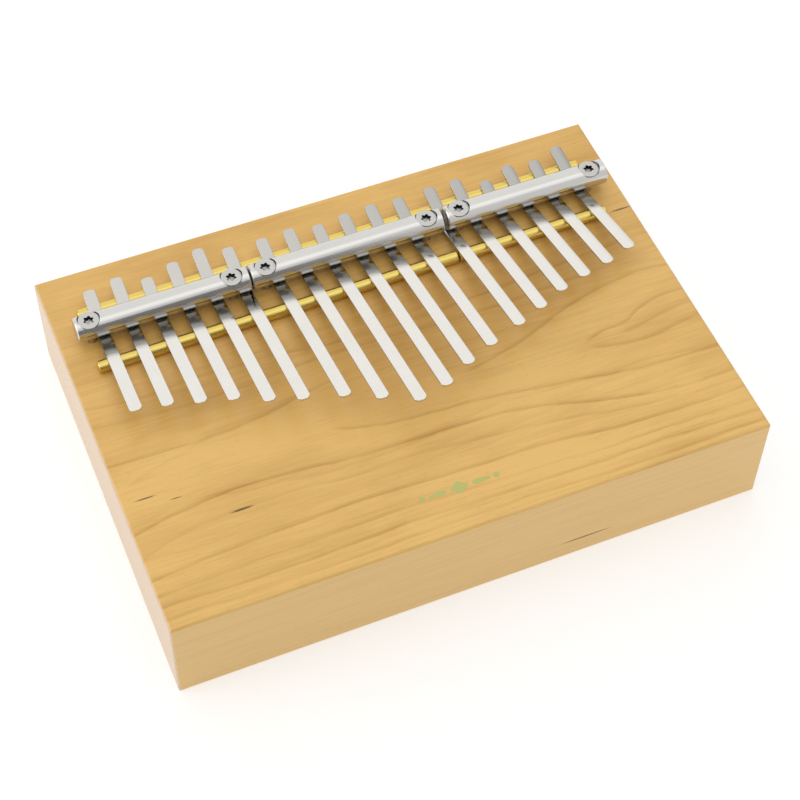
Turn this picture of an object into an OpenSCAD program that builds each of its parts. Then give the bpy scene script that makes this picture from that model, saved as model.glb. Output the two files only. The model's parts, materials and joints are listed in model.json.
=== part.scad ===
// Board-type mbira: eighteen spring-steel tines on a solid wooden block.
// The origin is the centre of the block's underside. X runs along the block's long
// side, Y from the player's side towards the clamp bars, and Z up.

/* [Block] */
// Length of the block along the row of tines
block_length = 190; // [186:1:240]
// Depth of the block from the player's side to the back
block_depth = 135; // [125:1:180]
// Thickness of the block
block_height = 35; // [32:1:60]
// Radius of the eased edges
edge_radius = 1; // [0.5:0.1:3]

/* [Bridges] */
// Diameter of the brass bridge rods
rod_diameter = 4; // [3:0.1:5]
// Depth of the grooves that seat the rods
groove_depth = 0.4; // [0.2:0.05:1]
// Distance of the front rods from the middle of the block
front_rod_y = 27.2; // [24:0.1:29]
// Distance of the back rods from the middle of the block
back_rod_y = 48.6; // [48:0.1:52]
// How much nearer the clamp bars the middle back rod lies
middle_rod_shift = 0.5; // [0:0.1:1]
// Distance from the middle of the block to the rods' left ends
rod_left_reach = 86; // [84:0.1:88]
// Distance from the middle of the block to the rods' right ends
rod_right_reach = 85.2; // [84:0.1:88]
// Place of the joints between the middle rods and the outer rods
rod_split = 33.1; // [32.8:0.1:33.4]
// Space between two rods
rod_gap = 0.5; // [0.2:0.1:0.8]

/* [Clamp bars] */
// Diameter of the round clamp bars
bar_diameter = 8; // [7:0.1:9]
// Distance of the bars from the middle of the block
bar_y = 39.6; // [39:0.1:40]
// Length of the middle bar
middle_bar_length = 64.9; // [62:0.1:65]
// Length of each outer bar
outer_bar_length = 56.2; // [55:0.1:57]
// Space between the left bar and the middle bar
left_bar_gap = 0.35; // [0.2:0.05:0.5]
// Space between the middle bar and the right bar
right_bar_gap = 1.15; // [0.2:0.05:1.5]
// Chamfer on the ends of the bars
bar_chamfer = 0.4; // [0.2:0.1:1]

/* [Screws] */
// Diameter of the countersunk screw heads
head_diameter = 6.8; // [6.5:0.1:7.2]
// Diameter of the screw shanks
shank_diameter = 3; // [2.5:0.1:3.2]
// Length of the screws
screw_length = 30; // [20:1:35]
// Depth of the head's top below the crest of the bar
head_sink = 0.9; // [0.5:0.1:1.2]
// Distance of the outermost screws from the middle of the block
outer_screw_x = 84.4; // [84.3:0.1:84.6]
// Distance of the outer bars' inner screws from the middle
inner_screw_x = 38.4; // [38.3:0.1:38.6]
// Distance of the middle bar's screws from the middle
middle_screw_x = 27.2; // [27.1:0.1:27.4]

/* [Tines] */
// Width of a tine
tine_width = 4; // [3:0.1:4]
// Thickness of a tine
tine_thickness = 0.8; // [0.6:0.05:1]
// Distance between two tines of the middle group
middle_pitch = 9.4; // [9.2:0.1:9.5]
// Distance between two tines of an outer group
outer_pitch = 9.2; // [9:0.1:9.3]
// Distance from the middle to the first tine of an outer group
outer_group_x = 34.7; // [34.6:0.1:34.8]
// Rise of the playing ends above the level, in degrees
playing_rise = 10; // [8:0.1:12]
// Rise of the tail ends above the level, in degrees
tail_rise = 12.5; // [8:0.1:14]
// How far the bar presses a tine down between the bridges
clamp_dip = 2.1; // [1.5:0.05:2.3]
// Turn of the whole row of tines about the upright axis, in degrees
row_lean = 1.4; // [0:0.1:2]
// Further outward turn of the outermost tines, in degrees
row_fan = 2.1; // [0:0.1:2.3]
// Radius of the corners at the playing tips
tip_radius = 1.5; // [0.5:0.1:1.9]
// Radius of the corners at the tail ends
tail_radius = 1.4; // [0.5:0.1:1.9]
// Place of the bending pivot, as a share of a tine's free length
pivot_share = 0.15; // [0.12:0.01:0.2]

/* [Hidden] */
$fn = 48;
TINES = 18;
PER_GROUP = 6;
SIDES = ["left", "middle", "right"];
// Free length of each tine, from the front rod to its tip, as it is tuned
free_length = [25, 27, 30, 33, 38, 41.5, 45.5, 51, 56.5,
               54, 48.5, 44, 39.5, 35.5, 31, 28, 25.5, 22];
// Length of each tine behind the clamp bar
tail_length = [14.5, 16, 13, 15.5, 17.5, 15, 14.5, 15, 13.5,
               14.5, 15, 14.5, 15, 15, 11.5, 14.5, 13.5, 16];
// Turn of each screw's recess, as the screws happen to be tightened
recess_turn = [12, 30, 2, 0, 25, 32];
// Air between pieces that touch or nearly touch
contact_air = 0.02;
// Half the length over which a tine lies flat under its bar
clamp_flat = 0.8;
// Air round a tine's bending pivot
pivot_air = 0.1;
// Air round a shank where it passes through a bar
shank_air = 0.1;
// Height of the rim of a screw head above its cone
head_rim = 0.4;
// Extra width of the countersink in a bar
countersink_air = 0.15;
// Six-lobed recess: size across its lobes, size of its core, and its depth
recess_across = 3.3;
recess_core = 2.3;
recess_lobe = 0.75;
recess_depth = 1.5;
// Length of the point at a screw's end
point_length = 5;
rod_chamfer = 0.3;
overshoot = 1;

rod_z = block_height + rod_diameter / 2 - groove_depth;
// A sloping tine rests beside the crest of a rod, so its seat lies a little above the crest
front_slope = max(playing_rise, atan(clamp_dip / (bar_y - clamp_flat - front_rod_y)));
back_run = back_rod_y - middle_rod_shift - bar_y - clamp_flat;
back_slope = max(tail_rise, atan(clamp_dip / back_run));
front_seat_z = rod_z + rod_diameter / 2 / cos(front_slope) + contact_air;
back_seat_z = rod_z + rod_diameter / 2 / cos(back_slope) + contact_air;
clamp_z = front_seat_z - clamp_dip;
bar_z = clamp_z + tine_thickness + contact_air + bar_diameter / 2;
head_z = bar_z + bar_diameter / 2 - head_sink;
middle_bar_end = middle_bar_length / 2;
left_bar_start = -middle_bar_end - left_bar_gap - outer_bar_length;
right_bar_start = middle_bar_end + right_bar_gap;
screw_x = [-outer_screw_x, -inner_screw_x, -middle_screw_x,
           middle_screw_x, inner_screw_x, outer_screw_x];

function two_digits(n) = n < 10 ? str("0", n) : str(n);
function tail_name(n) = str("tine_", two_digits(n), "_tail");
function tongue_name(n) = str("tine_", two_digits(n), "_tongue");
// Place of the nth tine along the row: the middle group, then an outer group
function half_row(j) = j < PER_GROUP / 2 ? (j + 0.5) * middle_pitch
                     : outer_group_x + (j - PER_GROUP / 2) * outer_pitch;
function tine_x(n) = n <= TINES / 2 ? -half_row(TINES / 2 - n) : half_row(n - TINES / 2 - 1);
function tine_side(n) = SIDES[floor((n - 1) / PER_GROUP)];
function tine_turn(n) = row_lean + row_fan * tine_x(n) / tine_x(TINES);
function pivot_y(n) = front_rod_y - pivot_share * free_length[n - 1];
function rise_z(y) = front_seat_z + (front_rod_y - y) * tan(playing_rise);
function pivot_z(n) = rise_z(pivot_y(n)) + tine_thickness / 2;

// A rectangle with rounded corners, centred on the origin
module rounded_rectangle(length, width, radius) {
    square([length - 2 * radius, width], center = true);
    square([length, width - 2 * radius], center = true);
    for (x = [-1, 1], y = [-1, 1])
        translate([x * (length / 2 - radius), y * (width / 2 - radius)])
            circle(r = radius);
}

// A round bar along X from x = 0, with chamfered ends
module chamfered_bar(length, diameter, chamfer) {
    radius = diameter / 2;
    rotate([0, 90, 0])
        rotate_extrude()
            polygon([[0, 0], [radius - chamfer, 0], [radius, chamfer],
                     [radius, length - chamfer], [radius - chamfer, length], [0, length]]);
}

// The plank with all its edges eased
module eased_plank() {
    translate([0, 0, block_height / 2])
        intersection() {
            linear_extrude(block_height, center = true)
                rounded_rectangle(block_length, block_depth, edge_radius);
            rotate([90, 0, 0])
                linear_extrude(block_depth, center = true)
                    rounded_rectangle(block_length, block_height, edge_radius);
            rotate([0, 90, 0])
                linear_extrude(block_length, center = true)
                    rounded_rectangle(block_height, block_depth, edge_radius);
        }
}

// Where a rod starts and ends along X, on the left, in the middle or on the right
function rod_span(side) =
    side == "left" ? [-rod_left_reach, -rod_split - rod_gap / 2]
  : side == "middle" ? [rod_gap / 2 - rod_split, rod_split - rod_gap / 2]
  : [rod_split + rod_gap / 2, rod_right_reach];
// The distance of a back rod from the middle of the block
function back_y(side) = side == "middle" ? back_rod_y - middle_rod_shift : back_rod_y;

// The groove that seats one rod
module rod_groove(y, side) {
    span = rod_span(side);
    translate([span[0] - contact_air, y, rod_z])
        rotate([0, 90, 0])
            cylinder(d = rod_diameter + 2 * contact_air, h = span[1] - span[0] + 2 * contact_air);
}

// One screw: rimmed head, cone, shank and point, with its top at z = 0
module screw_body(shank, head) {
    cone = (head - shank) / 2;
    rotate_extrude()
        polygon([[0, 0], [head / 2, 0], [head / 2, -head_rim], [shank / 2, -head_rim - cone],
                 [shank / 2, point_length - screw_length], [0, -screw_length]]);
}

// Outline of the six-lobed recess
module recess_outline() {
    circle(d = recess_core);
    for (a = [0 : 60 : 300])
        rotate(a)
            translate([(recess_across - recess_lobe) / 2, 0])
                circle(d = recess_lobe);
}

module clamp_screw(i) {
    translate([screw_x[i], bar_y, head_z])
        difference() {
            screw_body(shank_diameter, head_diameter);
            translate([0, 0, -recess_depth])
                rotate(recess_turn[i])
                    linear_extrude(recess_depth + overshoot)
                        recess_outline();
        }
}

// The hole through a bar: shank, countersink, and the way in for the head
module bar_hole(x) {
    head = head_diameter + 2 * countersink_air;
    shank = shank_diameter + 2 * shank_air;
    cone = (head - shank) / 2;
    translate([x, bar_y, head_z])
        rotate_extrude()
            polygon([[0, overshoot + head_sink], [head / 2, overshoot + head_sink],
                     [head / 2, -head_rim], [shank / 2, -head_rim - cone],
                     [shank / 2, -bar_diameter], [0, -bar_diameter]]);
}

module clamp_bar(start, length) {
    color([0.74, 0.74, 0.73])
        difference() {
            translate([start, bar_y, bar_z])
                chamfered_bar(length, bar_diameter, bar_chamfer);
            for (x = screw_x)
                if (x > start && x < start + length)
                    bar_hole(x);
        }
}

// One brass rod of a bridge, on the left, in the middle or on the right
module bridge_rod(y, side) {
    span = rod_span(side);
    color([0.80, 0.66, 0.30])
        translate([span[0], y, rod_z])
            chamfered_bar(span[1] - span[0], rod_diameter, rod_chamfer);
}

// Puts a tine drawn about its clamp line in its place in the row
module place_tine(n) {
    translate([tine_x(n), bar_y, 0])
        rotate(tine_turn(n))
            translate([0, -bar_y, 0])
                children();
}

// The clamped part of a tine: tail, clamp, front rod, and up to the pivot
module tine_tail(n) {
    tail_y = bar_y + tail_length[n - 1];
    rest_y = back_y(tine_side(n));
    end_y = pivot_y(n) + tine_thickness / 2 + pivot_air;
    under = [
        [tail_y, back_seat_z + (tail_y - rest_y) * tan(tail_rise)],
        [rest_y, back_seat_z],
        [bar_y + clamp_flat, clamp_z],
        [bar_y - clamp_flat, clamp_z],
        [front_rod_y, front_seat_z],
        [end_y, rise_z(end_y)]
    ];
    top = [for (i = [len(under) - 1 : -1 : 0]) [under[i][0], under[i][1] + tine_thickness]];
    color([0.70, 0.70, 0.68])
        place_tine(n)
            intersection() {
                rotate([90, 0, 90])
                    linear_extrude(tine_width, center = true)
                        polygon(concat(under, top));
                linear_extrude(2 * block_height)
                    translate([0, tail_y - block_depth / 2])
                        rounded_rectangle(tine_width, block_depth, tail_radius);
            }
}

// The free part of a tine, which springs about the pivot when it is plucked
module tine_tongue(n) {
    length = (1 - pivot_share) * free_length[n - 1] / cos(playing_rise);
    color([0.82, 0.82, 0.80])
        place_tine(n)
            translate([0, pivot_y(n), pivot_z(n)])
                rotate([-playing_rise, 0, 0]) {
                    rotate([0, 90, 0])
                        cylinder(d = tine_thickness, h = tine_width, center = true);
                    linear_extrude(tine_thickness, center = true) {
                        translate([0, -length / 2])
                            rounded_rectangle(tine_width, length, tip_radius);
                        translate([-tine_width / 2, -length / 2])
                            square([tine_width, length / 2]);
                    }
                }
}

module block() {
    color([0.86, 0.70, 0.44])
        difference() {
            eased_plank();
            for (side = SIDES) {
                rod_groove(front_rod_y, side);
                rod_groove(back_y(side), side);
            }
            for (x = screw_x)
                translate([x, bar_y, head_z - screw_length])
                    cylinder(d = shank_diameter + 2 * contact_air, h = block_height);
        }
}

module clamp_screws() {
    color([0.78, 0.78, 0.76])
        for (i = [0 : len(screw_x) - 1])
            clamp_screw(i);
}

block();
bridge_rod(front_rod_y, "left");  // front_bridge_left
bridge_rod(front_rod_y, "middle");  // front_bridge_middle
bridge_rod(front_rod_y, "right");  // front_bridge_right
bridge_rod(back_y("left"), "left");  // back_bridge_left
bridge_rod(back_y("middle"), "middle");  // back_bridge_middle
bridge_rod(back_y("right"), "right");  // back_bridge_right
clamp_bar(left_bar_start, outer_bar_length);  // clamp_bar_left
clamp_bar(-middle_bar_end, middle_bar_length);  // clamp_bar_middle
clamp_bar(right_bar_start, outer_bar_length);  // clamp_bar_right
clamp_screws();
for (n = [1 : TINES]) {
    tine_tail(n);
    tine_tongue(n);
}
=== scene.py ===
"""Looks of the board-type mbira: wood grain, bent steel strips, turned bars and brass rods.

All sizes are in metres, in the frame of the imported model.
"""
import json
import math

import bmesh
import bpy
import numpy as np
from mathutils import Matrix, Vector

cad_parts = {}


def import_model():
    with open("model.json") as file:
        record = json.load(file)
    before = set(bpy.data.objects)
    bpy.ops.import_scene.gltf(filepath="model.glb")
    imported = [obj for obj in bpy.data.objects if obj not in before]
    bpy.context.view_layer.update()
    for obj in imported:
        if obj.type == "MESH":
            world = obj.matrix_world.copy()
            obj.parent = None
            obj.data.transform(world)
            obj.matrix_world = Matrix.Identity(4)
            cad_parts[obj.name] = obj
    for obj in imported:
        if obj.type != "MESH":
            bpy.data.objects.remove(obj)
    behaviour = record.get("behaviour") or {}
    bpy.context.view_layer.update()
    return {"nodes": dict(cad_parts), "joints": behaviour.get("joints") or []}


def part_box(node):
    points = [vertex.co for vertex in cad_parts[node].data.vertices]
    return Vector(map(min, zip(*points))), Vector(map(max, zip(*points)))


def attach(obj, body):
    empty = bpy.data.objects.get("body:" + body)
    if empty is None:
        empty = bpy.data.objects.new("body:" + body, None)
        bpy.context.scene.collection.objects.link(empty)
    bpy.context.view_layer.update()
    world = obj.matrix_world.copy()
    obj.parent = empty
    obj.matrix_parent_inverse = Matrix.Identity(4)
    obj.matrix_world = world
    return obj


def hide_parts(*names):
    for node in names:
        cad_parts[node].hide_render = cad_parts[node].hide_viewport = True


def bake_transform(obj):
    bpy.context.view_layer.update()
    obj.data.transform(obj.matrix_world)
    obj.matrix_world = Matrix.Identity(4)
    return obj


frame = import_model()

MM = 0.001
SIDES = ("left", "middle", "right")
JOINTS = sorted(frame["joints"], key=lambda j: j["name"])


# ---------------------------------------------------------------- shader helpers

class Nodes:
    """Builds one material's or world's node tree in few words."""

    def __init__(self, tree):
        self.tree = tree
        tree.nodes.clear()

    def add(self, kind, inputs=None, **settings):
        """A new node with those inputs, each a value or another node's output, and settings."""
        node = self.tree.nodes.new(kind)
        for key, value in settings.items():
            setattr(node, key, value)
        for key, value in (inputs or {}).items():
            self.put(value, node.inputs[key])
        return node

    def put(self, value, socket):
        if isinstance(value, bpy.types.NodeSocket):
            self.tree.links.new(value, socket)
        else:
            socket.default_value = value

    def math(self, operation, a, b=0.0, c=0.0, clamp=False):
        node = self.add("ShaderNodeMath", operation=operation, use_clamp=clamp)
        for socket, value in zip(node.inputs, (a, b, c)):
            self.put(value, socket)
        return node.outputs[0]

    def remap(self, value, low, high, to_low=0.0, to_high=1.0, smooth=True):
        node = self.add("ShaderNodeMapRange", interpolation_type="SMOOTHSTEP" if smooth else "LINEAR")
        for key, v in (("Value", value), ("From Min", low), ("From Max", high),
                       ("To Min", to_low), ("To Max", to_high)):
            self.put(v, node.inputs[key])
        return node.outputs["Result"]

    def mix(self, factor, a, b, blend="MIX"):
        node = self.add("ShaderNodeMix", data_type="RGBA", blend_type=blend)
        self.put(factor, node.inputs["Factor"])
        self.put(a, node.inputs["A"])
        self.put(b, node.inputs["B"])
        return node.outputs["Result"]

    def noise(self, vector, scale, detail=2.0, roughness=0.5, distortion=0.0):
        node = self.add("ShaderNodeTexNoise", {
            "Vector": vector, "Scale": scale, "Detail": detail,
            "Roughness": roughness, "Distortion": distortion})
        return node.outputs["Fac"]

    def stretch(self, vector, scale, move=(0.0, 0.0, 0.0)):
        node = self.add("ShaderNodeMapping", {"Vector": vector, "Scale": scale, "Location": move})
        return node.outputs["Vector"]

    def grain(self, place, scale, roughness=0.5, detail=3.0, move=(0.0, 0.0, 0.0)):
        """Noise with its own scale along each axis; the smallest number is the longest grain."""
        return self.noise(self.stretch(place, scale, move), 1.0, detail, roughness)

    def hill(self, value, rise, fall):
        """0 outside, 1 between the end of the rise and the start of the fall."""
        return self.math("MULTIPLY", self.remap(value, *rise), self.remap(value, *fall, 1.0, 0.0))

    def bump(self, height, strength, distance):
        node = self.add("ShaderNodeBump", {"Height": height, "Strength": strength, "Distance": distance})
        return node.outputs["Normal"]


def new_material(name):
    """A material, its node builder and its principled shader."""
    material = bpy.data.materials.new(name)
    material.use_nodes = True
    nodes = Nodes(material.node_tree)
    output = nodes.add("ShaderNodeOutputMaterial")
    shader = nodes.add("ShaderNodeBsdfPrincipled")
    nodes.put(shader.outputs["BSDF"], output.inputs["Surface"])
    return material, nodes, shader


def colour(r, g, b):
    return (r, g, b, 1.0)


# ---------------------------------------------------------------- wood

# Growth rings lie round a pith that runs along X below the plank and rises to the right
PITH_Y = -18.5 * MM
PITH_DEPTH = 26 * MM
PITH_SLOPE = 0.012
RING_WIDTH = 2.6 * MM
RING_SWAY = 9.0 * MM
RING_WAVE = 1.3 * MM
WOOD_LIGHT = colour(0.846, 0.527, 0.159)
WOOD_DARK = colour(0.480, 0.230, 0.036)
WOOD_FACE = colour(0.870, 0.578, 0.217)
# End grain colour with painted light and sheen in it
WOOD_END_GRAIN_AND_LIGHT = colour(0.715, 0.552, 0.396)
# Colour of the painted shade under the clamp bars
WOOD_UNDER_BAR_SHADE = colour(0.380, 0.200, 0.022)
STREAK = colour(0.085, 0.038, 0.010)
# How far late wood darkens the top, the other long faces and the ends
LATE_TOP = 0.22
LATE_SIDE = 0.75
LATE_END = 0.30
# Painted shade: a stretch of the top under the clamp bars, where their shade falls, is painted dark and warm;
# it fades in and out over these
BAR_SHADE_START = (37.5 * MM, 40.5 * MM)
BAR_SHADE_END = (45 * MM, 48.5 * MM)
BAR_SHADE_SIDE = (84 * MM, 88 * MM)
BAR_SHADE_SHARE = 0.85
PORE_SHARE = 0.35
# How far pores lie below the fibres, and how much flatter the ends are than the other faces
PORE_DEPTH = 0.8
END_FLATNESS = 0.8
WOOD_BUMP = 0.18
WOOD_RELIEF = 0.05 * MM
STREAK_SHARE = 0.9
STREAK_RAGGEDNESS = 0.9
# Dark mineral streaks: middle (mm), length, width
STREAKS = [((-87.5, -22.5, 35), 8, 0.7), ((-79, -25.7, 35), 5, 0.5),
           ((-62.5, -36.5, 35), 9.5, 1.1), ((90.8, 27.3, 35), 9.5, 0.8),
           ((36, -67.5, 8), 24, 0.9)]
# Growth lines on the top face: strength and points (x, y) in mm
TOP_LINES = [
    (0.75, [(-95, -8.1), (-75, -8.9), (-61, -9.1), (-47, -7.5), (-31, -4.5), (-10, -2)]),
    (0.80, [(17, -14.9), (29, -12.9), (41, -9.5), (53, -4.9), (65, -1.5), (75, 0.5), (85, 1.5), (95, 0.5)]),
    (0.85, [(-29, -19.9), (-15, -23.5), (1, -25.1), (17, -26.5), (33, -28.1), (49, -30.5), (65, -33.1),
            (79, -33.9), (95, -34.5)]),
    (1.00, [(-95, -33.7), (-83, -31.5), (-69, -29.7), (-49, -29.7), (-29, -31.3), (-15, -32.5), (9, -32.7),
            (33, -34.9), (45, -38.5), (61, -42.1), (77, -44.1), (95, -44.5)]),
    (0.45, [(-95, -42.5), (-83, -38.7), (-69, -36.7), (-49, -36.3), (-29, -37.7), (5, -38.7), (35, -41.9),
            (60, -46.0), (95, -48.2)]),
    (0.95, [(-95, -50.5), (-83, -49.1), (-69, -48.1), (-41, -47.1), (-27, -46.5), (-15, -47.5), (5, -48.1),
            (25, -48.3), (49, -50.5), (65, -51.5), (95, -51.5)]),
    (0.60, [(-95, -55.7), (-60, -54.5), (-20, -54.1), (5, -54.9), (40, -56.3), (95, -56.7)]),
    (0.90, [(-95, -59.3), (-60, -59.9), (-10, -59.3), (30, -60.3), (60, -60.1), (95, -61.1)]),
    (0.60, [(-95, -63.5), (-40, -64.1), (10, -63.7), (50, -64.9), (95, -64.5)]),
    (0.75, [(55, -19.5), (63, -16.3), (71, -15.5), (77, -12.7), (85, -10.5), (95, -10.1)]),
    (0.65, [(55, -19.9), (65, -22.5), (77, -23.5), (85, -22.5), (95, -20.5)]),
    (0.50, [(66, -19.4), (75, -18.3), (83, -16.6), (95, -15.3)]),
    (0.45, [(-95, 14.5), (-80, 12.5), (-50, 13.5), (0, 9.5), (50, 12.5), (95, 15.5)]),
    (0.45, [(-95, 6.5), (-80, 5.5), (-60, 4.5), (-20, 6.5), (40, 5.1), (95, 9.5)])]
BOARD_X = (-95 * MM, 95 * MM)
BOARD_Y = (-67.5 * MM, 67.5 * MM)
# Shade across a growth line: its share, and where it rises and falls from front to back
LINE_SHADES = [(0.78, (-0.75 * MM, 0.25 * MM), (0.25 * MM, 1.7 * MM)),
               (0.265, (-0.60 * MM, 0.30 * MM), (0.0, 5.0 * MM)),
               (0.42, (-0.40 * MM, 0.02 * MM), (0.02 * MM, 0.60 * MM))]
LINE_DARKNESS = 0.44
# Noise that bends the lines, its mean, and the lengths over which a line starts and ends
LINE_WOBBLE = 2.0 * MM
LINE_JAGS = 0.9 * MM
LINE_NOISE_MEAN = 1.45 * MM
LINE_START = 6 * MM
LINE_END = 15 * MM


def share_of(value, span):
    """Where the value lies in the span, from 0 to 1."""
    return (value - span[0]) / (span[1] - span[0])


def line_height(n, share, points):
    """Y of a curve through the points (mm), at that share of the board's length."""
    curve = n.add("ShaderNodeFloatCurve", {"Value": share})
    knots = curve.mapping.curves[0].points
    spots = [(share_of(x * MM, BOARD_X), share_of(y * MM, BOARD_Y)) for x, y in points]
    knots[0].location = knots[1].location = (0.0, 0.5)
    while len(knots) < len(spots):
        knots.new(*spots[len(knots)])
    for knot, spot in zip(list(knots), spots):
        knot.location = spot
    curve.mapping.update()
    return n.remap(curve.outputs["Value"], 0.0, 1.0, *BOARD_Y, smooth=False)


def growth_lines(n, place, x, y):
    """Late-wood lines along the listed curves, sharp on the front side and soft behind."""
    wobble = n.math("MULTIPLY", n.grain(place, (45, 60, 60), 0.6), LINE_WOBBLE)
    jags = n.math("MULTIPLY", n.grain(place, (110, 1500, 1500), 0.7), LINE_JAGS)
    bent_y = n.math("ADD", n.math("ADD", n.math("SUBTRACT", y, LINE_NOISE_MEAN), wobble), jags)
    patches = n.remap(n.grain(place, (40, 40, 40), detail=2.0, move=(4, 4, 4)), 0.25, 0.65, 0.35, 0.95)
    share = n.remap(x, *BOARD_X, smooth=False)
    total = 0.0
    for weight, points in TOP_LINES:
        gap = n.math("SUBTRACT", bent_y, line_height(n, share, points))
        line = 0.0
        for part, rise, fall in LINE_SHADES:
            line = n.math("ADD", line, n.math("MULTIPLY", n.hill(gap, rise, fall), part))
        first, last = points[0][0] * MM, points[-1][0] * MM
        if first > BOARD_X[0]:
            line = n.math("MULTIPLY", line, n.remap(x, first, first + LINE_START))
        if last < BOARD_X[1]:
            line = n.math("MULTIPLY", line, n.remap(x, last - LINE_END, last, 1.0, 0.0))
        total = n.math("MAXIMUM", total, n.math("MULTIPLY", line, weight))
    return n.math("MULTIPLY", n.math("MULTIPLY", total, patches), LINE_DARKNESS)


def late_wood(n, place, x, y, z):
    """Dark outer part of each ring, from the distance to the pith, uneven by slow noise along the grain."""
    across = n.math("SUBTRACT", y, PITH_Y)
    above = n.math("SUBTRACT", n.math("ADD", z, PITH_DEPTH), n.math("MULTIPLY", x, PITH_SLOPE))
    radius = n.math("SQRT", n.math("ADD", n.math("MULTIPLY", across, across),
                                   n.math("MULTIPLY", above, above)))
    radius = n.math("ADD", radius, n.math("MULTIPLY", n.grain(place, (9, 34, 34), 0.45), RING_SWAY))
    wave = n.grain(place, (26, 95, 95), detail=2.0, move=(3.1, 0.7, 0.2))
    radius = n.math("ADD", radius, n.math("MULTIPLY", wave, RING_WAVE))
    turns = n.math("DIVIDE", radius, RING_WIDTH)
    share = n.math("FRACT", turns)
    late = n.math("MULTIPLY", n.math("POWER", share, 5.0), n.remap(share, 0.93, 1.0, 1.0, 0.0))
    ring = n.math("FLOOR", turns)
    weight = n.add("ShaderNodeTexWhiteNoise", {"W": ring}, noise_dimensions="1D").outputs["Value"]
    return n.math("MULTIPLY", late, n.remap(weight, 0.0, 1.0, 0.25, 1.0, smooth=False))


def mineral_streaks(n, place, fibre):
    """Dark ellipsoids at the listed places, with ragged ends."""
    dark = 0.0
    for middle, length, width in STREAKS:
        sizes = (length, width, width)
        near = n.stretch(place, tuple(2000 / size for size in sizes),
                         tuple(-2 * at / size for at, size in zip(middle, sizes)))
        far = n.add("ShaderNodeVectorMath", {0: near}, operation="LENGTH").outputs["Value"]
        far = n.math("ADD", far, n.math("MULTIPLY", fibre, STREAK_RAGGEDNESS))
        dark = n.math("ADD", dark, n.remap(far, 0.75, 1.45, 1.0, 0.0))
    return n.math("MINIMUM", dark, STREAK_SHARE)


def wood():
    """Pale oiled hardwood, with its own look on the top, the long sides and the ends."""
    material, n, shader = new_material("alder")
    coordinates = n.add("ShaderNodeTexCoord")
    place = coordinates.outputs["Object"]
    x, y, z = n.add("ShaderNodeSeparateXYZ", {"Vector": place}).outputs
    normal = n.add("ShaderNodeSeparateXYZ", {"Vector": coordinates.outputs["Normal"]})
    on_top = n.remap(normal.outputs["Z"], 0.5, 0.9)
    side = n.remap(n.math("ABSOLUTE", normal.outputs["Y"]), 0.80, 0.97)
    end = n.remap(n.math("ABSOLUTE", normal.outputs["X"]), 0.30, 0.75)
    late = late_wood(n, place, x, y, z)
    # Fine fibres and small pores along the grain, and slow patches
    fibre = n.grain(place, (70, 1500, 1500), 0.6)
    pores = n.remap(n.grain(place, (420, 3600, 3600), detail=1.0, move=(1, 7, 3)), 0.66, 0.76)
    blotch = n.grain(place, (42, 125, 125), 0.55, move=(2, 9, 4))
    cloud = n.grain(place, (14, 40, 40), move=(5, 2, 1))
    tint = n.math("MULTIPLY", late, n.remap(on_top, 0.0, 1.0, LATE_SIDE, LATE_TOP, smooth=False))
    tint = n.math("ADD", tint, n.math("MULTIPLY", growth_lines(n, place, x, y), on_top))
    tint = n.math("ADD", tint, n.remap(fibre, 0.25, 0.75, -0.10, 0.16, smooth=False))
    # Painted light: the top is painted lighter towards the front and darker towards the back
    tint = n.math("ADD", tint, n.remap(y, -45 * MM, 55 * MM, -0.02, 0.14, smooth=False))
    tint = n.math("ADD", tint, n.remap(blotch, 0.3, 0.7, -0.055, 0.085))
    tint = n.math("ADD", tint, n.remap(cloud, 0.3, 0.7, -0.09, 0.21), clamp=True)
    base = n.mix(tint, WOOD_LIGHT, WOOD_DARK)
    # Painted shade of the clamp bars on the top
    painted_bar_shade = n.math("MULTIPLY", n.hill(y, BAR_SHADE_START, BAR_SHADE_END),
                       n.remap(n.math("ABSOLUTE", x), *BAR_SHADE_SIDE, 1.0, 0.0))
    base = n.mix(n.math("MULTIPLY", n.math("MULTIPLY", painted_bar_shade, on_top), BAR_SHADE_SHARE), base,
                 WOOD_UNDER_BAR_SHADE)
    # The front and back are plain side grain and paler; the ends are end grain, whose pale, grey colour is
    # partly painted light and sheen from the strong side light
    side_tint = n.remap(n.grain(place, (30, 900, 900), 0.6), 0.3, 0.8, 0.03, 0.17)
    base = n.mix(side, base, n.mix(side_tint, WOOD_FACE, WOOD_DARK))
    end_tint = n.remap(n.grain(place, (400, 2400, 2400), 0.6), 0.3, 0.8, 0.0, 0.20)
    end_tint = n.math("ADD", end_tint, n.math("MULTIPLY", late, LATE_END))
    base = n.mix(end, base, n.mix(end_tint, WOOD_END_GRAIN_AND_LIGHT, WOOD_DARK))
    base = n.mix(n.math("MULTIPLY", pores, PORE_SHARE), base, WOOD_DARK)
    base = n.mix(mineral_streaks(n, place, fibre), base, STREAK)
    n.put(base, shader.inputs["Base Color"])
    n.put(n.remap(fibre, 0.2, 0.8, 0.32, 0.44, smooth=False), shader.inputs["Roughness"])
    shader.inputs["Specular IOR Level"].default_value = 0.5
    relief = n.math("SUBTRACT", fibre, n.math("MULTIPLY", pores, PORE_DEPTH))
    relief = n.math("MULTIPLY", relief, n.math("SUBTRACT", 1.0, n.math("MULTIPLY", end, END_FLATNESS)))
    n.put(n.bump(relief, WOOD_BUMP, WOOD_RELIEF), shader.inputs["Normal"])
    return material


# ---------------------------------------------------------------- metals

def scaled(n, base, factor):
    """A colour times a factor."""
    return n.add("ShaderNodeVectorMath", {0: base, "Scale": factor}, operation="SCALE").outputs["Vector"]


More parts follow.
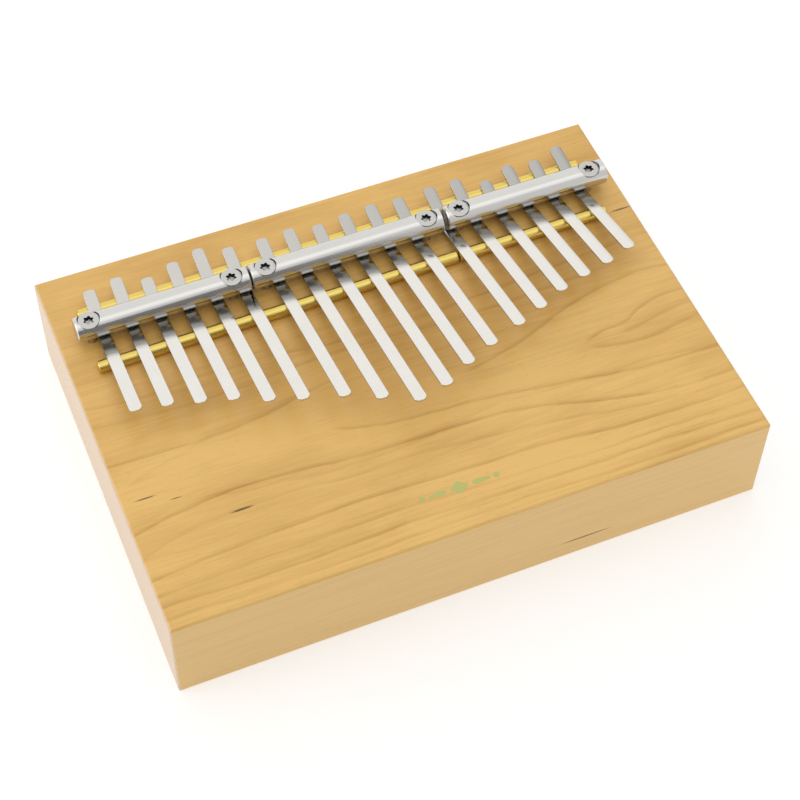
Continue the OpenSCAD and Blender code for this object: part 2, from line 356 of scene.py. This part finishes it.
def metal(name, base, roughness, marks, mark_depth, spread=0.05):
    """A metal with fine marks along the axis where marks is smallest; its roughness varies by the spread."""
    material, n, shader = new_material(name)
    place = n.add("ShaderNodeTexCoord").outputs["Object"]
    fine = n.grain(place, marks, 0.65)
    cloud = n.noise(place, 120.0, 3.0, 0.6)
    shade = n.remap(n.math("ADD", n.math("MULTIPLY", fine, 0.6), n.math("MULTIPLY", cloud, 0.4)),
                    0.3, 0.7, 0.93, 1.0, smooth=False)
    n.put(scaled(n, base, shade), shader.inputs["Base Color"])
    n.put(n.remap(fine, 0.3, 0.7, roughness - spread, roughness + spread, smooth=False),
          shader.inputs["Roughness"])
    shader.inputs["Metallic"].default_value = 1.0
    n.put(n.bump(fine, 0.25, mark_depth), shader.inputs["Normal"])
    return material, n, shader


# Painted shade on the strips, standing in for the dark reflection of the bar's underside, as brightness along
# Y: falls over the front rod, rises a little in the dip under the bar, and is gone behind the bar's middle
GAP_SHADE_ROD = (26.2 * MM, 29.9 * MM, 1.0, 0.5)
GAP_SHADE_DIP = (31 * MM, 34 * MM, 0.0, 0.14)
GAP_SHADE_BACK = (39 * MM, 41 * MM)
# Painted shade: the tails are painted darker than the playing ends, more so to the right, standing in for
# their darker reflections
TAIL_START = (38 * MM, 42 * MM)
TAIL_PAINTED_SHADE = (-80 * MM, 60 * MM, 0.80, 0.60)


def strip_steel():
    """Rolled strip, polished on its playing side, with painted shade in the gap under the bar and on the
    tails behind the bars.
    """
    material, n, shader = metal("tine_steel", (0.76, 0.745, 0.71), 0.13, (4200, 160, 4200), 0.004 * MM, 0.03)
    place = n.add("ShaderNodeTexCoord").outputs["Object"]
    x, y, _ = n.add("ShaderNodeSeparateXYZ", {"Vector": place}).outputs
    # Painted shade on the tails
    painted_tail_shade = n.math("SUBTRACT", n.remap(x, *TAIL_PAINTED_SHADE), 1.0)
    level = n.math("ADD", 1.0, n.math("MULTIPLY", n.remap(y, *TAIL_START), painted_tail_shade))
    # Painted shade where the strip dips under the bar, between the front rod and the bar's middle
    painted_gap_shade = n.math("ADD", n.remap(y, *GAP_SHADE_ROD), n.remap(y, *GAP_SHADE_DIP))
    painted_gap_shade = n.math("MAXIMUM", painted_gap_shade, n.remap(y, *GAP_SHADE_BACK))
    level = n.math("MULTIPLY", level, painted_gap_shade)
    steel = shader.inputs["Base Color"].links[0].from_socket
    n.put(scaled(n, steel, level), shader.inputs["Base Color"])
    return material


# Painted shade on the walls of the recess below the head's face: where it starts and ends, in depth and in
# radius
RECESS_TOP = (-0.25 * MM, -0.05 * MM, 1.0, 0.0)
RECESS_FLOOR = (-1.8 * MM, -1.6 * MM)
RECESS_RIM = (1.8 * MM, 2.0 * MM, 1.0, 0.0)


def faced_steel():
    """Screw steel with the concentric marks of a turned head, with painted shade on the walls of the recess.
    """
    material, n, shader = new_material("screw_steel")
    coordinates = n.add("ShaderNodeTexCoord")
    place = coordinates.outputs["Object"]
    rings = n.add("ShaderNodeTexWave", {"Vector": place, "Scale": 1300.0, "Distortion": 0.6,
                                        "Detail": 2.0, "Detail Scale": 2.0},
                  wave_type="RINGS", rings_direction="Z").outputs["Fac"]
    cloud = n.noise(place, 900.0, 3.0, 0.6)
    shade = n.remap(n.math("ADD", n.math("MULTIPLY", rings, 0.4), n.math("MULTIPLY", cloud, 0.6)),
                    0.2, 0.8, 0.90, 1.0, smooth=False)
    x, y, z = n.add("ShaderNodeSeparateXYZ", {"Vector": place}).outputs
    facing = n.add("ShaderNodeSeparateXYZ", {"Vector": coordinates.outputs["Normal"]})
    reach = n.math("SQRT", n.math("ADD", n.math("MULTIPLY", x, x), n.math("MULTIPLY", y, y)))
    # Painted shade on the recess walls
    recess_shade = n.math("MULTIPLY", n.remap(z, *RECESS_TOP), n.remap(z, *RECESS_FLOOR))
    recess_shade = n.math("MULTIPLY", recess_shade, n.remap(reach, *RECESS_RIM))
    recess_shade = n.math("MULTIPLY", recess_shade, n.remap(facing.outputs["Z"], 0.45, 0.8, 1.0, 0.0))
    shade = n.math("MULTIPLY", shade, n.math("SUBTRACT", 1.0, n.math("MULTIPLY", recess_shade, 0.9)))
    n.put(scaled(n, (0.58, 0.575, 0.56), shade), shader.inputs["Base Color"])
    n.put(n.remap(cloud, 0.3, 0.7, 0.26, 0.38), shader.inputs["Roughness"])
    shader.inputs["Metallic"].default_value = 1.0
    n.put(n.bump(rings, 0.15, 0.02 * MM), shader.inputs["Normal"])
    return material


WOOD = wood()
BRASS = metal("brass", (0.75, 0.575, 0.155), 0.27, (500, 5200, 5200), 0.006 * MM)[0]
BAR_STEEL = metal("bar_steel", (0.64, 0.63, 0.615), 0.19, (60, 6000, 6000), 0.003 * MM, 0.03)[0]
TINE_STEEL = strip_steel()
SCREW_STEEL = faced_steel()


# ---------------------------------------------------------------- mesh helpers

def piece(name, points, faces, material, body="root", sharp_angle=40.0):
    """A new mesh object, which rides the body if one is named."""
    mesh = bpy.data.meshes.new(name)
    mesh.from_pydata([tuple(p) for p in points], [], faces)
    mesh.validate()
    mesh.materials.append(material)
    shade(mesh, sharp_angle)
    item = bpy.data.objects.new(name, mesh)
    bpy.context.scene.collection.objects.link(item)
    if body:
        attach(item, body)
    return item


def shade(mesh, sharp_angle):
    """Outward faces, smooth except across edges sharper than the angle."""
    work = bmesh.new()
    work.from_mesh(mesh)
    bmesh.ops.recalc_face_normals(work, faces=work.faces)
    limit = math.radians(sharp_angle)
    for face in work.faces:
        face.smooth = True
    for edge in work.edges:
        edge.smooth = edge.is_manifold and edge.calc_face_angle(0.0) < limit
    work.to_mesh(mesh)
    work.free()


def loft(rings):
    """Closed skin over rings of equally many points; a ring of one point closes an end."""
    points, faces, previous = [], [], None
    for ring in rings:
        current = list(range(len(points), len(points) + len(ring)))
        points.extend(ring)
        if previous is not None:
            count = max(len(previous), len(current))
            for i in range(count):
                j = (i + 1) % count
                if len(previous) == 1:
                    faces.append((previous[0], current[j], current[i]))
                elif len(current) == 1:
                    faces.append((previous[i], previous[j], current[0]))
                else:
                    faces.append((previous[i], previous[j], current[j], current[i]))
        previous = current
    return points, faces


def circle(radius, count):
    """Points of a circle round the origin."""
    return [(radius * math.cos(2 * math.pi * i / count), radius * math.sin(2 * math.pi * i / count))
            for i in range(count)]


def turned(profile, count, place):
    """Rings of a turned shape from (distance along, radius); place maps (along, a, b) to a point."""
    return [[place(along, 0, 0)] if radius == 0 else [place(along, a, b) for a, b in circle(radius, count)]
            for along, radius in profile]


# ---------------------------------------------------------------- rods and bars

ROD_CHAMFER = 0.3 * MM
ROD_STEP = 4 * MM
ROD_SIDES = 64
BAR_CHAMFER = 0.4 * MM
BAR_STEP = 0.8 * MM
BAR_SIDES = 128
# The chamfer's edges are rounded over this length, and the skin stands in by the inset there
EDGE_BREAK = 0.06 * MM
EDGE_INSET = 0.3 * EDGE_BREAK
# Edges sharper than this many degrees stay sharp
BAR_SHARP = 28.0
SCREW_SHARP = 35.0


def round_bar(node, chamfer, step, count):
    """Points and faces of a chamfered round bar that fills the CAD node's box along X."""
    low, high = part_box(node)
    radius = (high.z - low.z) / 2
    centre = (low + high) / 2
    length = high.x - low.x
    ends = [(0, 0), (0, 0.5 * (radius - chamfer)), (0, radius - chamfer - EDGE_BREAK),
            (EDGE_INSET, radius - chamfer), (chamfer - EDGE_INSET, radius - EDGE_INSET),
            (chamfer + EDGE_BREAK, radius)]
    middle = np.linspace(chamfer + 2 * EDGE_BREAK, length - chamfer - 2 * EDGE_BREAK,
                         max(2, round(length / step)))
    profile = ends + [(x, radius) for x in middle] + [(length - x, r) for x, r in reversed(ends)]
    return loft(turned(profile, count, lambda s, a, b: (low.x + s, centre.y + a, centre.z + b)))


def rods():
    """Six brass rods in place of the bridge nodes."""
    for row in ("front", "back"):
        for side in SIDES:
            node = f"{row}_bridge_{side}"
            points, faces = round_bar(node, ROD_CHAMFER, ROD_STEP, ROD_SIDES)
            rod = piece(f"{row}_rod_{side}", points, faces, BRASS)
            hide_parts(node)


# Points this near the top belong to a screw's face; a wider gap in X starts the next screw
SCREW_FACE_DEPTH = 0.1 * MM
SCREW_GAP = 1.5 * MM


def screw_places():
    """Middle of each screw's head top, and the head's radius, read from the CAD node."""
    node = frame["nodes"]["clamp_screws"]
    top = max(v.co.z for v in node.data.vertices)
    head = sorted((v.co.x, v.co.y) for v in node.data.vertices if v.co.z > top - SCREW_FACE_DEPTH)
    groups = [[head[0]]]
    for point in head[1:]:
        if point[0] - groups[-1][-1][0] > SCREW_GAP:
            groups.append([])
        groups[-1].append(point)
    places = []
    for group in groups:
        xs, ys = [p[0] for p in group], [p[1] for p in group]
        places.append(Vector(((min(xs) + max(xs)) / 2, (min(ys) + max(ys)) / 2, top)))
    radius = (max(p[0] for p in groups[0]) - min(p[0] for p in groups[0])) / 2
    return places, radius


SCREWS, HEAD_RADIUS = screw_places()
SHANK_RADIUS = 1.5 * MM
HEAD_RIM = 0.4 * MM
HOLE_AIR = 0.15 * MM
SHANK_AIR = 0.1 * MM
HOLE_SIDES = 96
# The cutter of a hole reaches this far above and below the head's face
HOLE_ABOVE = 2 * MM
HOLE_BELOW = 12 * MM


def cut(item, cutters):
    """Takes the cutters out of item, leaves the plain result as its mesh and removes the cutters."""
    for cutter in cutters:
        modifier = item.modifiers.new("cut", "BOOLEAN")
        modifier.operation = "DIFFERENCE"
        modifier.solver = "EXACT"
        modifier.object = cutter
    bpy.context.view_layer.update()
    result = bpy.data.meshes.new_from_object(item.evaluated_get(bpy.context.evaluated_depsgraph_get()))
    item.modifiers.clear()
    item.data = result
    for cutter in cutters:
        bpy.data.objects.remove(cutter)
    shade(result, BAR_SHARP)


def screw_hole(place):
    """A solid of the countersunk hole, to be cut out of a bar."""
    wide, thin = HEAD_RADIUS + HOLE_AIR, SHANK_RADIUS + SHANK_AIR
    profile = [(HOLE_ABOVE, 0), (HOLE_ABOVE, wide), (-HEAD_RIM, wide), (-(HEAD_RIM + wide - thin), thin),
               (-HOLE_BELOW, thin), (-HOLE_BELOW, 0)]
    points, faces = loft(turned(profile, HOLE_SIDES, lambda s, a, b: place + Vector((a, b, s))))
    return piece("cutter", points, faces, BAR_STEEL, body=None)


def bars():
    """Three turned bars with countersunk holes in place of the clamp bar nodes."""
    for side in SIDES:
        node = f"clamp_bar_{side}"
        low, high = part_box(node)
        points, faces = round_bar(node, BAR_CHAMFER, BAR_STEP, BAR_SIDES)
        bar = piece(f"clamp_bar_turned_{side}", points, faces, BAR_STEEL, body=None)
        cut(bar, [screw_hole(place) for place in SCREWS if low.x < place.x < high.x])
        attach(bar, "root")
        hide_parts(node)


# ---------------------------------------------------------------- screws

# Each recess is turned by its own angle, in degrees
RECESS_TURN = (12, 30, 2, 0, 25, 32)
RECESS_MEAN = 1.40 * MM
RECESS_LOBE = 0.25 * MM
LOBES = 6
LOBE_FLATNESS = 0.16
RECESS_DEPTH = 1.5 * MM
# Inside of the recess from its floor up: growth of the outline, scale and height
RECESS_LEVELS = [(0, 0.45, -RECESS_DEPTH - 0.12 * MM), (0, 0.88, -RECESS_DEPTH), (0, 0.97, -0.5 * MM),
                 (0, 1.0, -0.10 * MM), (0.03 * MM, 1.0, -0.03 * MM), (0.10 * MM, 1.0, 0)]
RECESS_FLOOR_DIP = 0.25 * MM
FACE_EDGE = 0.16 * MM
FACE_RINGS = 4
# Rounding of the head's edge: height and radius beyond the head's own
HEAD_EDGE = [(-0.03 * MM, -0.07 * MM), (-0.09 * MM, -0.02 * MM), (-0.17 * MM, 0), (-HEAD_RIM, 0)]
POINT_LENGTH = 5 * MM
POINT_RADIUS = 0.12 * MM
POINT_CAP = 0.1 * MM
SCREW_SIDES = 144


def lobed(grow, scale, turn):
    """Outline of the six-lobed recess."""
    ring = []
    for i in range(SCREW_SIDES):
        a = 2 * math.pi * i / SCREW_SIDES
        wave = math.cos(LOBES * (a - turn))
        radius = (RECESS_MEAN + RECESS_LOBE * (wave + LOBE_FLATNESS * (1 - wave * wave)) + grow) * scale
        ring.append((radius * math.cos(a), radius * math.sin(a)))
    return ring


def at_height(ring, z):
    """A flat outline as a ring of points at that height."""
    return [(a, b, z) for a, b in ring]


def screw_rings(turn, length):
    """Rings of one screw from the middle of its recess over the head to its point."""
    rings = [[(0, 0, -RECESS_DEPTH - RECESS_FLOOR_DIP)]]
    rings += [at_height(lobed(grow, scale, turn), z) for grow, scale, z in RECESS_LEVELS]
    star = rings[-1]
    outer = circle(HEAD_RADIUS - FACE_EDGE, SCREW_SIDES)
    for step in range(1, FACE_RINGS + 1):
        t = step / FACE_RINGS
        rings.append([(p[0] * (1 - t) + q[0] * t, p[1] * (1 - t) + q[1] * t, 0) for p, q in zip(star, outer)])
    rest = [(z, HEAD_RADIUS + beyond) for z, beyond in HEAD_EDGE]
    rest += [(-HEAD_RIM - (HEAD_RADIUS - SHANK_RADIUS), SHANK_RADIUS), (POINT_LENGTH - length, SHANK_RADIUS),
             (POINT_CAP - length, POINT_RADIUS)]
    rings += [at_height(circle(radius, SCREW_SIDES), z) for z, radius in rest]
    return rings + [[(0, 0, -length)]]


def screws():
    """Six screws in place of the screws' node."""
    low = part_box("clamp_screws")[0].z
    for number, (place, turn) in enumerate(zip(SCREWS, RECESS_TURN), start=1):
        points, faces = loft(screw_rings(math.radians(turn), place.z - low))
        screw = piece(f"screw_{number}", points, faces, SCREW_STEEL, body=None, sharp_angle=SCREW_SHARP)
        screw.location = place
        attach(screw, "root")
        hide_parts("clamp_screws")


# ---------------------------------------------------------------- tines

STRIP_THICKNESS = 0.8 * MM
STRIP_EDGE = 0.12 * MM
EDGE_POINTS = 4
TAIL_RADIUS = 1.4 * MM
TIP_RADIUS = 1.5 * MM
CORNER_POINTS = 10
CONTACT_AIR = 0.02 * MM
TAIL_END_DEPTH = 0.05 * MM
CLAMP_FLAT = 0.8 * MM
STRIPS_PER_BAR = 6
# Length over which each bend is rounded, from tail to tip
BENDS = [1.4 * MM, 1.5 * MM, 1.5 * MM, 1.4 * MM]
PATH_STEP = 0.05 * MM
# Cross-section spacing on the straight parts and round the bends
STATION_STEP = 1.2 * MM
STATION_GAP = 1.0 * MM
BEND_REACH = 0.8 * MM
BEND_STATIONS = 9


def strip_corners(number, along, pivot):
    """Corners of a strip's middle line from tail to tip, and the front rod's distance.

    A corner is (distance from the pivot towards the tip, height above it).
    """
    side = SIDES[(number - 1) // STRIPS_PER_BAR]

    def seat(node):
        """Where a rod or bar crosses the strip, and its lowest and highest levels."""
        low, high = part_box(node)
        return (pivot.y - (low.y + high.y) / 2) / -along.y, low.z - pivot.z, high.z - pivot.z

    at_bar, bar_low, _ = seat(f"clamp_bar_{side}")
    at_front = seat(f"front_bridge_{side}")[0]
    at_back, back_low, back_high = seat(f"back_bridge_{side}")
    tail = [v.co - pivot for v in frame["nodes"][f"tine_{number:02d}_tail"].data.vertices]
    tongue = [v.co - pivot for v in frame["nodes"][f"tine_{number:02d}_tongue"].data.vertices]
    centre = sum(tongue, Vector()) / len(tongue)
    rise = math.atan2(centre.z, centre.dot(along))
    forward = along * math.cos(rise) + Vector((0, 0, math.sin(rise)))
    tip = max(p.dot(forward) for p in tongue)
    start = min(p.dot(along) for p in tail)
    end_heights = [p.z for p in tail if p.dot(along) < start + TAIL_END_DEPTH]
    start_height = (min(end_heights) + max(end_heights)) / 2
    half = STRIP_THICKNESS / 2 + CONTACT_AIR
    clamped = bar_low - half
    slope = math.atan2(start_height - clamped, at_bar - CLAMP_FLAT - start)
    rod_radius = (back_high - back_low) / 2
    back_height = (back_high + back_low) / 2 + (rod_radius + half) / math.cos(slope)
    return [(start, start_height), (at_back, back_height), (at_bar - CLAMP_FLAT, clamped),
            (at_bar + CLAMP_FLAT, clamped), (at_front, at_front * math.tan(rise)),
            (tip * math.cos(rise), tip * math.sin(rise))], at_front


def bent_line(corners):
    """Smooth line through the corners: lengths, slopes, distances, heights and the corners' lengths."""
    steps = [(b[0] - a[0], b[1] - a[1]) for a, b in zip(corners, corners[1:])]
    slopes = [math.atan2(rise, run) for run, rise in steps]
    knots = np.cumsum([0.0] + [math.hypot(run, rise) for run, rise in steps])
    s = np.arange(-MM, knots[-1] + MM, PATH_STEP)
    slope = np.full_like(s, slopes[0])
    for knot, bend, a, b in zip(knots[1:-1], BENDS, slopes, slopes[1:]):
        t = np.clip((s - knot) / bend + 0.5, 0, 1)
        slope += (b - a) * t * t * (3 - 2 * t)
    middle = (slope[1:] + slope[:-1]) / 2
    run = np.concatenate([[0], np.cumsum(np.cos(middle) * PATH_STEP)])
    height = np.concatenate([[0], np.cumsum(np.sin(middle) * PATH_STEP)])
    # The last straight part passes through the pivot
    pivot = knots[-2] + math.hypot(*corners[-2])
    run -= np.interp(pivot, s, run)
    height -= np.interp(pivot, s, height)
    return s, slope, run, height, knots


def rounded_corner(middle, half, radius, first, last):
    """Outline points of a strip's rounded corner, whose middle lies at that distance along."""
    points = []
    for a in np.linspace(first, last, CORNER_POINTS):
        along, across = math.cos(a), math.sin(a)
        points.append((middle + radius * along, half - radius + radius * across, along, across))
    return points


def strip_outline(length, half, knots):
    """Outline of the flat strip from its tail, as (along, across, outward normal along and across)."""
    stations = np.arange(TAIL_RADIUS + STATION_STEP, length - TIP_RADIUS - STATION_STEP / 2, STATION_STEP)
    stations = [d for d in stations if min(abs(d - knot) for knot in knots) > STATION_GAP]
    for knot in knots:
        stations.extend(knot + np.linspace(-BEND_REACH, BEND_REACH, BEND_STATIONS))
    side = [(0, 0, -1, 0)]
    side += rounded_corner(TAIL_RADIUS, half, TAIL_RADIUS, math.pi, math.pi / 2)
    side += [(d, half, 0, 1) for d in sorted(stations)]
    side += rounded_corner(length - TIP_RADIUS, half, TIP_RADIUS, math.pi / 2, 0)
    mirrored = [(d, -w, nd, -nw) for d, w, nd, nw in reversed(side[1:])]
    return side + [(length, 0, 1, 0)] + mirrored, len(side)


def strip_faces(count, half_count, levels):
    """Faces that close the bottom and the top of a lofted strip, side to side."""
    faces = []
    for base, flip in ((0, False), ((levels - 1) * count, True)):
        for i in range(half_count):
            quad = [i, i + 1, count - i - 1, (count - i) % count]
            quad = list(dict.fromkeys(base + q for q in quad))
            if len(quad) > 2:
                faces.append(tuple(reversed(quad)) if flip else tuple(quad))
    return faces


def strips():
    """Eighteen bent strips, each in place of a tail and a tongue."""
    for number, joint in enumerate(JOINTS, start=1):
        axis = Vector(joint["axis"]).normalized()
        pivot = Vector(joint["pos_m"])
        along = Vector((axis.y, -axis.x, 0))
        corners, at_front = strip_corners(number, along, pivot)
        s, slope, run, height, knots = bent_line(corners)
        tail = frame["nodes"][f"tine_{number:02d}_tail"].data
        half = max(abs((v.co - pivot).dot(axis)) for v in tail.vertices)

        def place(d, across, up):
            angle = np.interp(d, s, slope)
            level = np.interp(d, s, run) - up * math.sin(angle)
            rise = np.interp(d, s, height) + up * math.cos(angle)
            return pivot + along * level + axis * across + Vector((0, 0, rise))

        outline, half_count = strip_outline(knots[-1], half, knots[1:-1])
        levels = [(STRIP_EDGE * (1 - math.sin(a)), -STRIP_THICKNESS / 2 + STRIP_EDGE * (1 - math.cos(a)))
                  for a in np.linspace(0, math.pi / 2, EDGE_POINTS)]
        levels += [(inset, -up) for inset, up in reversed(levels)]
        points, faces = loft([[place(d - nd * inset, w - nw * inset, up) for d, w, nd, nw in outline]
                              for inset, up in levels])
        faces += strip_faces(len(outline), half_count, len(levels))
        strip = piece(f"tine_{number:02d}", points, faces, TINE_STEEL, body=None)
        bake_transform(strip)
        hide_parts(f"tine_{number:02d}_tail", f"tine_{number:02d}_tongue")


# ---------------------------------------------------------------- ornament

FOIL_PLACE = Vector((-1.0, -53.0, 35.0)) * MM
FOIL_LEVELS = (-0.03 * MM, 0.02 * MM)
FOIL_METALLIC = 0.6
# Outlines (mm): a lozenge between two tapered bars and two small lozenges
FOIL_SHAPES = [[(-3.2, 0), (0, -2.3), (3.2, 0), (0, 2.3)],
               [(3.9, 0), (5.2, -1.0), (9.9, -0.35), (9.9, 0.35), (5.2, 1.0)],
               [(-3.9, 0), (-5.2, 1.0), (-9.9, 0.35), (-9.9, -0.35), (-5.2, -1.0)],
               [(10.6, 0), (11.9, -1.1), (13.2, 0), (11.9, 1.1)],
               [(-13.2, 0), (-11.9, -1.1), (-10.6, 0), (-11.9, 1.1)]]


def ornament():
    """A plain foil ornament pressed into the board in front of the tines."""
    material, _, shader = metal("foil", (0.50, 0.50, 0.17), 0.35, (900, 900, 900), 0.01 * MM)
    shader.inputs["Metallic"].default_value = FOIL_METALLIC
    points, faces = [], []
    for shape in FOIL_SHAPES:
        count, base = len(shape), len(points)
        for level in FOIL_LEVELS:
            points.extend(FOIL_PLACE + Vector((x * MM, y * MM, level)) for x, y in shape)
        faces.append([base + i for i in reversed(range(count))])
        faces.append([base + count + i for i in range(count)])
        for i in range(count):
            j = (i + 1) % count
            faces.append([base + i, base + j, base + count + j, base + count + i])
    foil = piece("foil_ornament", points, faces, material)


# ---------------------------------------------------------------- studio

CAMERA_PLACE = Vector((-0.14495, -0.34150, 0.51660))
CAMERA_FORWARD = Vector((0.23421, 0.54293, -0.80646))
CAMERA_UP = Vector((0.30049, 0.74849, 0.59116))
CAMERA_LENS = 88.95
CAMERA_SENSOR = 36.0
# Name, place, target, width, height and radiance of each soft box
SOFT_BOXES = [("top_box", (0.15, -0.20, 0.95), (0.15, 0.0, 0.0), 1.1, 0.62, 0.30),
              ("left_box", (-1.3, 0.25, 0.35), (0.0, 0.0, 0.0), 0.9, 0.9, 2.5)]
# World brightness by direction: towards the camera's side and back, and towards the far left and right
WORLD_DEPTH = (-0.7, -0.1, 0.90, 1.13)
WORLD_SIDES = (0.38, 0.80, 1.0, 0.3)
# Two opposite corners (X, Z) of the camera stand's dark side, and its Y
CARD = ((-0.45, 0.01), (0.16, 0.46))
CARD_Y = -0.52
CARD_GREY = 0.20
FLOOR_HALF = 4.0
FLOOR_GREY = 0.62
FLOOR_GLOW = 0.50


def camera():
    """The photograph's viewpoint."""
    data = bpy.data.cameras.new("camera")
    data.lens = CAMERA_LENS
    data.sensor_width = CAMERA_SENSOR
    data.clip_start, data.clip_end = 0.01, 20.0
    item = bpy.data.objects.new("camera", data)
    forward = CAMERA_FORWARD.normalized()
    up = (CAMERA_UP - forward * CAMERA_UP.dot(forward)).normalized()
    right = forward.cross(up)
    turn = Matrix((right, up, -forward)).transposed()
    item.matrix_world = Matrix.Translation(CAMERA_PLACE) @ turn.to_4x4()
    bpy.context.scene.collection.objects.link(item)
    bpy.context.scene.camera = item


def lamp(name, place, target, width, height, radiance):
    """A soft box of that radiance, which no camera sees."""
    data = bpy.data.lights.new(name, "AREA")
    data.shape = "RECTANGLE"
    data.size, data.size_y = width, height
    data.energy = radiance * math.pi * width * height
    item = bpy.data.objects.new(name, data)
    item.location = place
    item.rotation_euler = (Vector(target) - Vector(place)).to_track_quat("-Z", "Y").to_euler()
    item.visible_camera = False
    bpy.context.scene.collection.objects.link(item)


def world():
    """A white studio, a little dimmer on the photographer's side and much dimmer to the left and right."""
    scene_world = bpy.data.worlds.new("studio")
    scene_world.use_nodes = True
    bpy.context.scene.world = scene_world
    n = Nodes(scene_world.node_tree)
    way = n.add("ShaderNodeTexCoord").outputs["Generated"]
    x, y, _ = n.add("ShaderNodeSeparateXYZ", {"Vector": way}).outputs
    level = n.math("MULTIPLY", n.remap(y, *WORLD_DEPTH), n.remap(n.math("ABSOLUTE", x), *WORLD_SIDES))
    # Seen directly, the backdrop is plain white
    direct = n.add("ShaderNodeLightPath").outputs["Is Camera Ray"]
    level = n.remap(direct, 0.0, 1.0, level, 1.0, smooth=False)
    background = n.add("ShaderNodeBackground", {"Color": colour(1.0, 0.99, 0.97), "Strength": level})
    output = n.add("ShaderNodeOutputWorld")
    n.put(background.outputs[0], output.inputs["Surface"])


def matt(name, grey, grain_scale):
    """A rough, plain grey material."""
    material, n, shader = new_material(name)
    shader.inputs["Base Color"].default_value = colour(grey, grey, grey)
    place = n.add("ShaderNodeTexCoord").outputs["Object"]
    n.put(n.remap(n.noise(place, grain_scale), 0.3, 0.7, 0.85, 0.95), shader.inputs["Roughness"])
    return material, shader


def card():
    """The dark side of the camera stand, which only reflections show."""
    material, _ = matt("camera_stand", CARD_GREY, 8.0)
    (left, low), (right, high) = CARD
    item = piece("camera_stand", [(left, CARD_Y, low), (right, CARD_Y, low),
                                  (right, CARD_Y, high), (left, CARD_Y, high)],
                 [(0, 1, 2, 3)], material, body=None)
    item.visible_camera = False


def floor():
    """A pale table that glows a little, so that it looks as white as the backdrop."""
    material, shader = matt("shooting_table", FLOOR_GREY, 40.0)
    shader.inputs["Specular IOR Level"].default_value = 0.1
    shader.inputs["Emission Color"].default_value = colour(1, 1, 1)
    shader.inputs["Emission Strength"].default_value = FLOOR_GLOW
    size = FLOOR_HALF
    ground = piece("floor", [(-size, -size, 0), (size, -size, 0), (size, size, 0), (-size, size, 0)],
                   [(0, 1, 2, 3)], material, body=None)


def studio():
    """Lights, camera and surroundings."""
    world()
    for box in SOFT_BOXES:
        lamp(*box)
    card()
    camera()
    floor()
    bpy.context.scene.view_settings.view_transform = "Standard"


# ---------------------------------------------------------------- build

block = frame["nodes"]["block"]
block.data.materials.clear()
block.data.materials.append(WOOD)
rods()
bars()
screws()
strips()
ornament()
studio()
